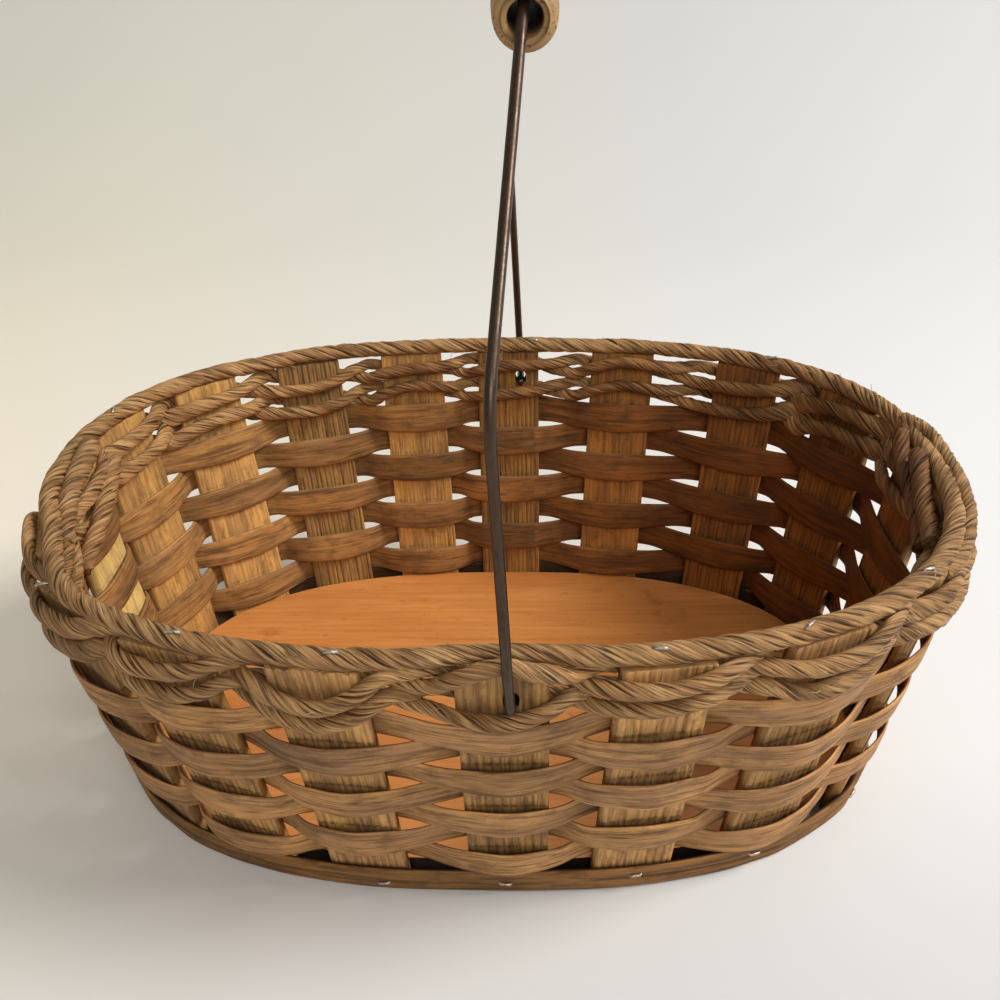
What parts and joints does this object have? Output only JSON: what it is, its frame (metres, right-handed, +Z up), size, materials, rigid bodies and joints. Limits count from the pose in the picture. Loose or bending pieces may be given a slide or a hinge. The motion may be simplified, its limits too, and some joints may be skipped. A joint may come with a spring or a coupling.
{
  "type": "woven market basket",
  "caption": "Oval woven wooden basket with leaning slatted sides, twined cord rim and a swinging wire bail with a turned wooden grip.",
  "frame": {"origin": "on the ground under the middle of the oval", "axes": "+X along the basket's long side, towards its right end in the picture; +Y across it, away from the camera; +Z up"},
  "size_m": [0.3932, 0.2728, 0.3308],
  "materials": {
    "board_wood": "smooth, worn",
    "stake_wood": "rough sawn, weathered",
    "splint": "dry, fine grained",
    "rush_cord": "twisted rush, dry",
    "steel_wire": "dull, lightly rusted",
    "grip_wood": "turned, dry"
  },
  "bodies": {
    "basket": {"base_board": "board_wood", "handle_stake_back": "stake_wood", "handle_stake_front": "stake_wood", "stake_01": "stake_wood", "stake_02": "stake_wood", "stake_03": "stake_wood", "stake_04": "stake_wood", "stake_05": "stake_wood", "stake_06": "stake_wood", "stake_07": "stake_wood", "stake_08": "stake_wood", "stake_09": "stake_wood", "stake_10": "stake_wood", "stake_11": "stake_wood", "stake_12": "stake_wood", "stake_13": "stake_wood", "stake_14": "stake_wood", "stake_15": "stake_wood", "stake_16": "stake_wood", "bottom_band": "splint", "weaver_row_1": "splint", "weaver_row_2": "splint", "weaver_row_3": "splint", "weaver_row_4": "splint", "weaver_row_5": "splint", "weaver_row_6": "splint", "weaver_row_7": "splint", "lower_twine_a": "rush_cord", "lower_twine_b": "rush_cord", "upper_twine_a": "rush_cord", "upper_twine_b": "rush_cord", "rim_cord": "rush_cord"},
    "bail": {"bail_wire": "steel_wire"},
    "grip": {"grip": "grip_wood"}
  },
  "joints": [
    {"name": "bail_swing", "type": "hinge", "parent": "basket", "child": "bail", "pos_m": [0.0117, 0, 0.122], "axis": [0, 1, 0], "range_deg": [-80, 77]},
    {"name": "grip_spin", "type": "hinge", "parent": "bail", "child": "grip", "pos_m": [0.01791, 0, 0.31965], "axis": [0, 1, 0], "continuous": true}
  ]
}
